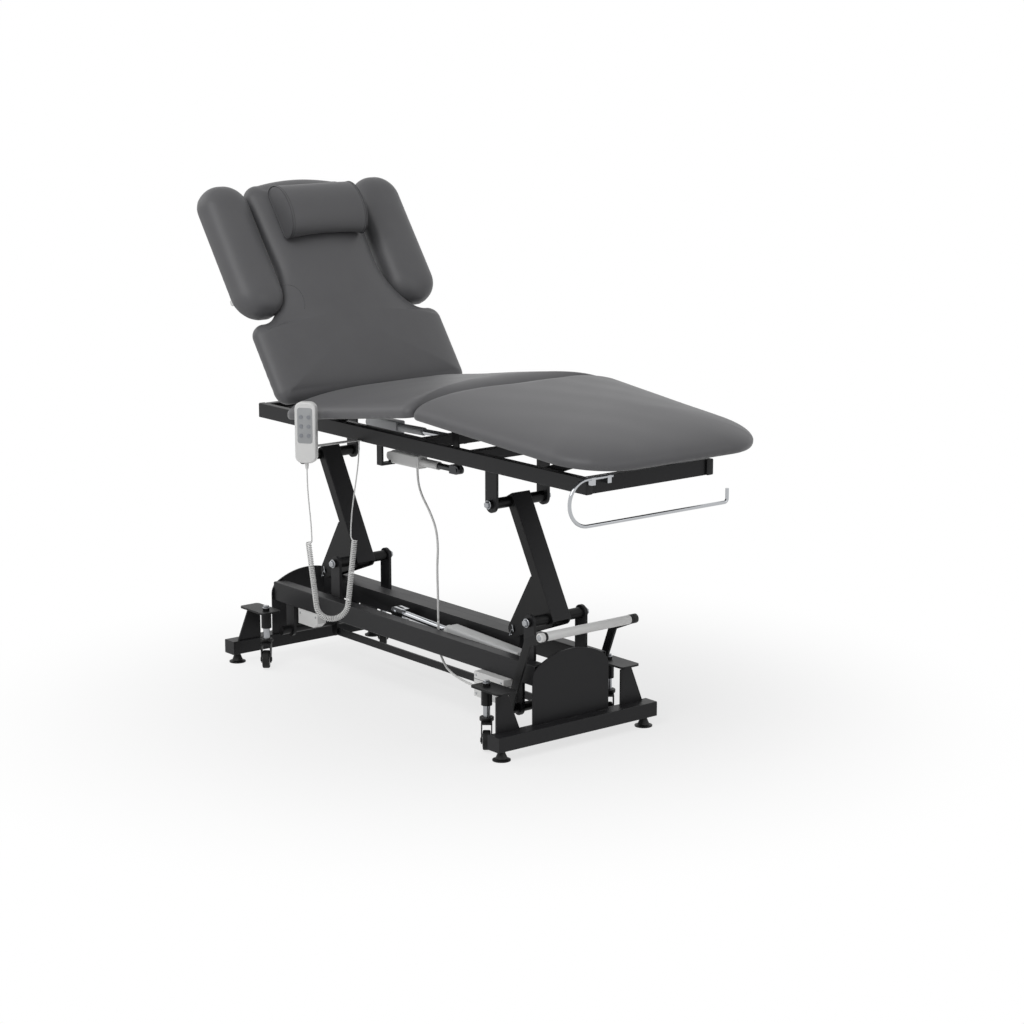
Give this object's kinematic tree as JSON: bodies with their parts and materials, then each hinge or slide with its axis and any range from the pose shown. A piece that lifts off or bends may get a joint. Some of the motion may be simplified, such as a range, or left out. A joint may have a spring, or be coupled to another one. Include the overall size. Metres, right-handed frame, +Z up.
{
  "type": "electric massage table",
  "caption": "Three-section treatment couch with a raised back, arm pads and bolster on a parallelogram lift base with castors, pedal and handset.",
  "frame": {"origin": "on the floor under the middle of the overall box", "axes": "+X to the foot end, -Y to the side with the handset, +Z up"},
  "size_m": [1.63, 0.7281, 1.3333],
  "materials": {
    "upholstery": "smooth satin leatherette",
    "frame_black": "satin black powder coat",
    "zinc": "bright zinc",
    "bright": "polished",
    "white_plastic": "smooth white",
    "grey_plastic": "smooth light grey",
    "black_plastic": "moulded black",
    "tread": "soft black tread",
    "cord_sheath": "smooth pale sheath"
  },
  "bodies": {
    "base": {"cross_beams": "frame_black", "long_beams": "frame_black", "end_plates": "frame_black", "leg_uprights": "frame_black", "castor_brackets": "frame_black", "control_box": "white_plastic", "junction_box": "white_plastic", "motor_cable": "cord_sheath", "box_cable": "cord_sheath"},
    "foot_front_near": {"foot_front_near": "black_plastic"},
    "foot_front_far": {"foot_front_far": "black_plastic"},
    "foot_rear_near": {"foot_rear_near": "black_plastic"},
    "foot_rear_far": {"foot_rear_far": "black_plastic"},
    "castor_stem_front_near": {"castor_stem_front_near": "zinc"},
    "castor_fork_front_near": {"castor_fork_front_near": "black_plastic"},
    "castor_wheel_front_near": {"castor_wheel_front_near": "tread"},
    "castor_stem_front_far": {"castor_stem_front_far": "zinc"},
    "castor_fork_front_far": {"castor_fork_front_far": "black_plastic"},
    "castor_wheel_front_far": {"castor_wheel_front_far": "tread"},
    "castor_stem_rear_near": {"castor_stem_rear_near": "zinc"},
    "castor_fork_rear_near": {"castor_fork_rear_near": "black_plastic"},
    "castor_wheel_rear_near": {"castor_wheel_rear_near": "tread"},
    "castor_stem_rear_far": {"castor_stem_rear_far": "zinc"},
    "castor_fork_rear_far": {"castor_fork_rear_far": "black_plastic"},
    "castor_wheel_rear_far": {"castor_wheel_rear_far": "tread"},
    "pedal": {"pedal": "frame_black"},
    "link_bar": {"link_bar": "frame_black"},
    "rear_crank": {"rear_crank": "frame_black"},
    "front_leg": {"front_leg": "frame_black"},
    "rear_leg": {"rear_leg": "frame_black"},
    "tie_bar": {"tie_bar": "frame_black"},
    "lift_drive": {"lift_actuator_housing": "grey_plastic"},
    "lift_rod": {"lift_actuator_rod": "bright"},
    "top_frame": {"side_rails": "frame_black", "frame_cross_tubes": "frame_black", "paper_roll_bar": "bright", "handset": "white_plastic", "handset_cord": "cord_sheath"},
    "back": {"back_frame": "frame_black", "back_cushion": "upholstery"},
    "pillow": {"pillow": "upholstery"},
    "near_arm_pad": {"near_arm_pad": "upholstery"},
    "far_arm_pad": {"far_arm_pad": "upholstery"},
    "near_arm_knob": {"near_arm_knob": "white_plastic"},
    "far_arm_knob": {"far_arm_knob": "white_plastic"},
    "seat": {"seat_frame": "frame_black", "seat_cushion": "upholstery"},
    "leg_section": {"leg_frame": "frame_black", "leg_cushion": "upholstery"},
    "swing_links": {"leg_link": "frame_black"},
    "back_drive": {"back_motor_housing": "grey_plastic"},
    "back_rod": {"back_motor_rod": "bright"},
    "knee_drive": {"knee_motor_housing": "white_plastic"},
    "knee_rod": {"knee_motor_rod": "bright"},
    "button_1": {"button_1": "grey_plastic"},
    "button_2": {"button_2": "grey_plastic"},
    "button_3": {"button_3": "grey_plastic"},
    "button_4": {"button_4": "grey_plastic"},
    "button_5": {"button_5": "grey_plastic"},
    "button_6": {"button_6": "grey_plastic"}
  },
  "joints": [
    {"name": "pedal_press", "type": "hinge", "parent": "base", "child": "pedal", "pos_m": [0.3282, 0, 0.092], "axis": [0, 1, 0], "range_deg": [0, 20]},
    {"name": "link_bar_pin", "type": "hinge", "parent": "pedal", "child": "link_bar", "pos_m": [0.3282, 0.047, 0.06], "axis": [0, 1, 0], "range_deg": [-20, 0]},
    {"name": "rear_crank_turn", "type": "hinge", "parent": "base", "child": "rear_crank", "pos_m": [-0.6818, 0, 0.092], "axis": [0, 1, 0], "range_deg": [0, 20]},
    {"name": "foot_front_near_screw", "type": "hinge", "parent": "base", "child": "foot_front_near", "pos_m": [0.4152, -0.234, 0], "axis": [0, 0, 1], "continuous": true},
    {"name": "castor_front_near_drop", "type": "slide", "parent": "base", "child": "castor_stem_front_near", "axis": [0, 0, -1], "range_m": [0, 0.008]},
    {"name": "castor_front_near_swivel", "type": "hinge", "parent": "castor_stem_front_near", "child": "castor_fork_front_near", "pos_m": [0.3152, -0.201, 0.074], "axis": [0, 0, 1], "continuous": true},
    {"name": "castor_front_near_roll", "type": "hinge", "parent": "castor_fork_front_near", "child": "castor_wheel_front_near", "pos_m": [0.33074, -0.21359, 0.028], "axis": [0.6293, 0.7771, 0], "continuous": true},
    {"name": "foot_front_far_screw", "type": "hinge", "parent": "base", "child": "foot_front_far", "pos_m": [0.4152, 0.234, 0], "axis": [0, 0, 1], "continuous": true},
    {"name": "castor_front_far_drop", "type": "slide", "parent": "base", "child": "castor_stem_front_far", "axis": [0, 0, -1], "range_m": [0, 0.008]},
    {"name": "castor_front_far_swivel", "type": "hinge", "parent": "castor_stem_front_far", "child": "castor_fork_front_far", "pos_m": [0.3152, 0.201, 0.074], "axis": [0, 0, 1], "continuous": true},
    {"name": "castor_front_far_roll", "type": "hinge", "parent": "castor_fork_front_far", "child": "castor_wheel_front_far", "pos_m": [0.33074, 0.18841, 0.028], "axis": [0.6293, 0.7771, 0], "continuous": true},
    {"name": "foot_rear_near_screw", "type": "hinge", "parent": "base", "child": "foot_rear_near", "pos_m": [-0.7688, -0.234, 0], "axis": [0, 0, 1], "continuous": true},
    {"name": "castor_rear_near_drop", "type": "slide", "parent": "base", "child": "castor_stem_rear_near", "axis": [0, 0, -1], "range_m": [0, 0.008]},
    {"name": "castor_rear_near_swivel", "type": "hinge", "parent": "castor_stem_rear_near", "child": "castor_fork_rear_near", "pos_m": [-0.6688, -0.201, 0.074], "axis": [0, 0, 1], "continuous": true},
    {"name": "castor_rear_near_roll", "type": "hinge", "parent": "castor_fork_rear_near", "child": "castor_wheel_rear_near", "pos_m": [-0.65326, -0.21359, 0.028], "axis": [0.6293, 0.7771, 0], "continuous": true},
    {"name": "foot_rear_far_screw", "type": "hinge", "parent": "base", "child": "foot_rear_far", "pos_m": [-0.7688, 0.234, 0], "axis": [0, 0, 1], "continuous": true},
    {"name": "castor_rear_far_drop", "type": "slide", "parent": "base", "child": "castor_stem_rear_far", "axis": [0, 0, -1], "range_m": [0, 0.008]},
    {"name": "castor_rear_far_swivel", "type": "hinge", "parent": "castor_stem_rear_far", "child": "castor_fork_rear_far", "pos_m": [-0.6688, 0.201, 0.074], "axis": [0, 0, 1], "continuous": true},
    {"name": "castor_rear_far_roll", "type": "hinge", "parent": "castor_fork_rear_far", "child": "castor_wheel_rear_far", "pos_m": [-0.65326, 0.18841, 0.028], "axis": [0.6293, 0.7771, 0], "continuous": true},
    {"name": "lift_swing", "type": "hinge", "parent": "base", "child": "front_leg", "pos_m": [0.3422, 0, 0.311], "axis": [0, -1, 0], "range_deg": [0, 46.2], "deforming": ["motor_cable"]},
    {"name": "rear_leg_swing", "type": "hinge", "parent": "base", "child": "rear_leg", "pos_m": [-0.4938, 0, 0.311], "axis": [0, -1, 0], "range_deg": [0, 46.2]},
    {"name": "frame_level", "type": "hinge", "parent": "front_leg", "child": "top_frame", "pos_m": [0.1903, 0, 0.5873], "axis": [0, -1, 0], "range_deg": [-46.2, 0]},
    {"name": "tie_bar_level", "type": "hinge", "parent": "front_leg", "child": "tie_bar", "pos_m": [0.2082, 0, 0.257], "axis": [0, -1, 0], "range_deg": [-46.2, 0]},
    {"name": "lift_drive_turn", "type": "hinge", "parent": "base", "child": "lift_drive", "pos_m": [0.3012, -0.056, 0.196], "axis": [0, -1, 0], "range_deg": [0, 9.29]},
    {"name": "lift_rod_slide", "type": "slide", "parent": "lift_drive", "child": "lift_rod", "axis": [-0.9991, 0, 0.0416], "range_m": [-0.07727, 0]},
    {"name": "back_raise", "type": "hinge", "parent": "top_frame", "child": "back", "pos_m": [-0.4048, 0, 0.768], "axis": [0, 1, 0], "range_deg": [-54.5, 4]},
    {"name": "back_drive_turn", "type": "hinge", "parent": "back", "child": "back_drive", "pos_m": [-0.44173, 0, 0.70272], "axis": [0, 1, 0], "range_deg": [-3.94, 53.71]},
    {"name": "back_rod_slide", "type": "slide", "parent": "back_drive", "child": "back_rod", "axis": [0.9997, 0, 0.0241], "range_m": [-0.06851, 0.00503]},
    {"name": "seat_raise", "type": "hinge", "parent": "top_frame", "child": "seat", "pos_m": [-0.3818, 0, 0.738], "axis": [0, -1, 0], "range_deg": [-8.1, 4]},
    {"name": "leg_section_turn", "type": "hinge", "parent": "seat", "child": "leg_section", "pos_m": [0.17997, 0, 0.82199], "axis": [0, -1, 0], "range_deg": [-6.42, 13]},
    {"name": "swing_link_turn", "type": "hinge", "parent": "top_frame", "child": "swing_links", "pos_m": [0.4547, 0, 0.711], "axis": [0, -1, 0], "range_deg": [-15.87, 7.84]},
    {"name": "knee_drive_turn", "type": "hinge", "parent": "top_frame", "child": "knee_drive", "pos_m": [-0.2268, -0.088, 0.652], "axis": [0, -1, 0], "range_deg": [-12.79, 6.32]},
    {"name": "knee_rod_slide", "type": "slide", "parent": "knee_drive", "child": "knee_rod", "axis": [0.9999, 0, 0.0116], "range_m": [-0.00991, 0.00489]},
    {"name": "near_arm_pad_slide", "type": "slide", "parent": "back", "child": "near_arm_pad", "axis": [0, -1, 0], "range_m": [0, 0.05]},
    {"name": "near_arm_knob_turn", "type": "hinge", "parent": "near_arm_pad", "child": "near_arm_knob", "pos_m": [-0.63735, -0.298, 1.03204], "axis": [0, -1, 0], "continuous": true},
    {"name": "far_arm_pad_slide", "type": "slide", "parent": "back", "child": "far_arm_pad", "axis": [0, 1, 0], "range_m": [0, 0.05]},
    {"name": "far_arm_knob_turn", "type": "hinge", "parent": "far_arm_pad", "child": "far_arm_knob", "pos_m": [-0.63735, 0.298, 1.03204], "axis": [0, 1, 0], "continuous": true},
    {"name": "pillow_slide", "type": "slide", "parent": "back", "child": "pillow", "axis": [-0.5807, 0, 0.8141], "range_m": [-0.12, 0]},
    {"name": "button_1_press", "type": "slide", "parent": "top_frame", "child": "button_1", "axis": [-0.6157, 0.788, 0], "range_m": [0, 0.0015], "stiffness_N_per_m": 400},
    {"name": "button_2_press", "type": "slide", "parent": "top_frame", "child": "button_2", "axis": [-0.6157, 0.788, 0], "range_m": [0, 0.0015], "stiffness_N_per_m": 400},
    {"name": "button_3_press", "type": "slide", "parent": "top_frame", "child": "button_3", "axis": [-0.6157, 0.788, 0], "range_m": [0, 0.0015], "stiffness_N_per_m": 400},
    {"name": "button_4_press", "type": "slide", "parent": "top_frame", "child": "button_4", "axis": [-0.6157, 0.788, 0], "range_m": [0, 0.0015], "stiffness_N_per_m": 400},
    {"name": "button_5_press", "type": "slide", "parent": "top_frame", "child": "button_5", "axis": [-0.6157, 0.788, 0], "range_m": [0, 0.0015], "stiffness_N_per_m": 400},
    {"name": "button_6_press", "type": "slide", "parent": "top_frame", "child": "button_6", "axis": [-0.6157, 0.788, 0], "range_m": [0, 0.0015], "stiffness_N_per_m": 400}
  ],
  "couplings": [
    {"joint": "link_bar_pin", "follows": "pedal_press", "ratio": -1},
    {"joint": "rear_crank_turn", "follows": "pedal_press", "ratio": 1},
    {"joint": "castor_front_near_drop", "follows": "pedal_press", "m_per_rad": 0.022918},
    {"joint": "castor_front_far_drop", "follows": "pedal_press", "m_per_rad": 0.022918},
    {"joint": "castor_rear_near_drop", "follows": "pedal_press", "m_per_rad": 0.022918},
    {"joint": "castor_rear_far_drop", "follows": "pedal_press", "m_per_rad": 0.022918},
    {"joint": "rear_leg_swing", "follows": "lift_swing", "ratio": 1},
    {"joint": "frame_level", "follows": "lift_swing", "ratio": -1},
    {"joint": "tie_bar_level", "follows": "lift_swing", "ratio": -1},
    {"joint": "lift_drive_turn", "follows": "lift_swing", "ratio": 0.201},
    {"joint": "lift_rod_slide", "follows": "lift_swing", "m_per_rad": -0.095821},
    {"joint": "back_drive_turn", "follows": "back_raise", "ratio": -0.98555},
    {"joint": "back_rod_slide", "follows": "back_raise", "m_per_rad": 0.072028},
    {"joint": "leg_section_turn", "follows": "seat_raise", "ratio": -1.6049},
    {"joint": "swing_link_turn", "follows": "seat_raise", "ratio": 1.959},
    {"joint": "knee_drive_turn", "follows": "seat_raise", "ratio": 1.5788},
    {"joint": "knee_rod_slide", "follows": "seat_raise", "m_per_rad": 0.070097}
  ]
}
